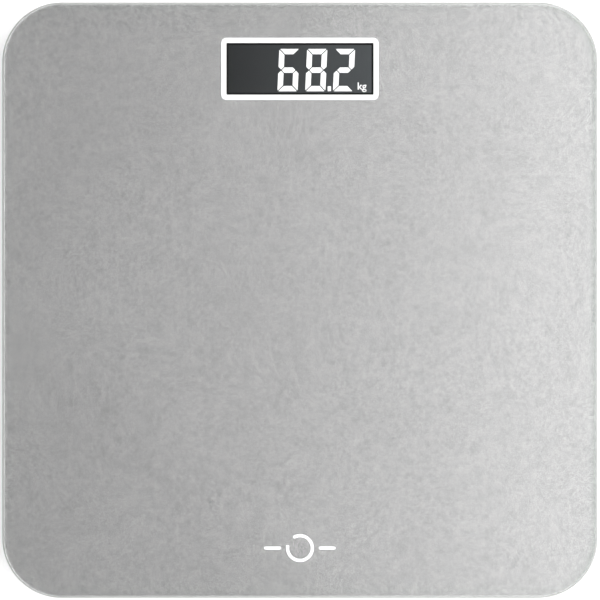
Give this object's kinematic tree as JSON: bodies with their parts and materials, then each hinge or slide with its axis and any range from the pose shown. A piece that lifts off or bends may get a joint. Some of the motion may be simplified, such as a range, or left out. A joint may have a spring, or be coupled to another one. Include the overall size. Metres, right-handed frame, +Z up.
{
  "type": "digital bathroom scale",
  "caption": "Slim square electronic bathroom scale with a silver-printed glass platform, a backlit display window, a moulded tray, sprung rubber-padded feet and a hinged battery door.",
  "frame": {"origin": "on the floor under the middle of the platform", "axes": "+X to the reader's right, +Y towards the display edge, +Z up out of the glass"},
  "size_m": [0.3, 0.3, 0.022],
  "materials": {
    "glass": "clear tempered float glass, ground edge",
    "silver_print": "satin silver fired print seen through the glass",
    "white_print": "opaque white print",
    "adhesive": "cured silicone",
    "tray_plastic": "fine-textured moulded plastic",
    "lcd_glass": "dark polarised glass with lit segments",
    "black_plastic": "black moulded plastic",
    "light_guide": "clear acrylic with frosted underside",
    "led": "white package with phosphor window",
    "zebra_rubber": "layered conductive rubber",
    "board_laminate": "green solder mask",
    "epoxy": "black epoxy dome",
    "steel": "zinc-plated steel",
    "plunger_plastic": "moulded plunger",
    "button_plastic": "satin grey",
    "cell_can": "nickel-plated steel can",
    "contact_spring": "nickel-plated spring strip",
    "wire_black": "black sleeve",
    "wire_red": "red sleeve",
    "foot_plastic": "moulded plastic",
    "pad_rubber": "soft anti-slip rubber",
    "load_cell_steel": "blanked spring steel, nickel plated",
    "silicone": "white silicone coating",
    "lead_sleeve": "three-core sleeve"
  },
  "bodies": {
    "scale": {"glass_platform": "glass", "platform_print": "silver_print", "window_border": "white_print", "emblem_ring": "white_print", "emblem_bar_left": "white_print", "emblem_bar_right": "white_print", "bond_lattice": "adhesive", "base_tray": "tray_plastic", "lcd_front_glass": "lcd_glass", "lcd_rear_glass": "lcd_glass", "lcd_frame": "black_plastic", "backlight_guide": "light_guide", "backlight_led": "led", "zebra_strip": "zebra_rubber", "main_board": "board_laminate", "controller_blob": "epoxy", "board_screw_1": "steel", "board_screw_2": "steel", "board_screw_3": "steel", "board_screw_4": "steel", "unit_switch_body": "black_plastic", "coin_cell": "cell_can", "contact_negative": "contact_spring", "contact_positive": "contact_spring", "wire_negative": "wire_black", "wire_positive": "wire_red", "load_cell_front_left": "load_cell_steel", "gauge_coating_front_left": "silicone", "gauge_lead_front_left": "lead_sleeve", "cell_screw_front_left_1": "steel", "cell_screw_front_left_2": "steel", "load_cell_front_right": "load_cell_steel", "gauge_coating_front_right": "silicone", "gauge_lead_front_right": "lead_sleeve", "cell_screw_front_right_1": "steel", "cell_screw_front_right_2": "steel", "load_cell_back_left": "load_cell_steel", "gauge_coating_back_left": "silicone", "gauge_lead_back_left": "lead_sleeve", "cell_screw_back_left_1": "steel", "cell_screw_back_left_2": "steel", "load_cell_back_right": "load_cell_steel", "gauge_coating_back_right": "silicone", "gauge_lead_back_right": "lead_sleeve", "cell_screw_back_right_1": "steel", "cell_screw_back_right_2": "steel"},
    "foot_unit_front_left": {"foot_front_left": "foot_plastic", "foot_pad_front_left": "pad_rubber"},
    "foot_unit_front_right": {"foot_front_right": "foot_plastic", "foot_pad_front_right": "pad_rubber"},
    "foot_unit_back_left": {"foot_back_left": "foot_plastic", "foot_pad_back_left": "pad_rubber"},
    "foot_unit_back_right": {"foot_back_right": "foot_plastic", "foot_pad_back_right": "pad_rubber"},
    "unit_key": {"unit_button": "button_plastic", "unit_switch_plunger": "plunger_plastic"},
    "hatch": {"battery_door": "tray_plastic"}
  },
  "joints": [
    {"name": "foot_front_left_flex", "type": "slide", "parent": "scale", "child": "foot_unit_front_left", "axis": [0, 0, 1], "range_m": [0, 0.0005], "stiffness_N_per_m": 5000, "springref_m": -0.0012},
    {"name": "foot_front_right_flex", "type": "slide", "parent": "scale", "child": "foot_unit_front_right", "axis": [0, 0, 1], "range_m": [0, 0.0005], "stiffness_N_per_m": 5000, "springref_m": -0.0012},
    {"name": "foot_back_left_flex", "type": "slide", "parent": "scale", "child": "foot_unit_back_left", "axis": [0, 0, 1], "range_m": [0, 0.0005], "stiffness_N_per_m": 5000, "springref_m": -0.0012},
    {"name": "foot_back_right_flex", "type": "slide", "parent": "scale", "child": "foot_unit_back_right", "axis": [0, 0, 1], "range_m": [0, 0.0005], "stiffness_N_per_m": 5000, "springref_m": -0.0012},
    {"name": "unit_button_press", "type": "slide", "parent": "scale", "child": "unit_key", "axis": [0, 0, 1], "range_m": [0, 0.0005], "stiffness_N_per_m": 300, "springref_m": -0.0002},
    {"name": "battery_door_swing", "type": "hinge", "parent": "scale", "child": "hatch", "pos_m": [0, 0.04035, 0.0046], "axis": [-1, 0, 0], "range_deg": [0, 95]}
  ]
}
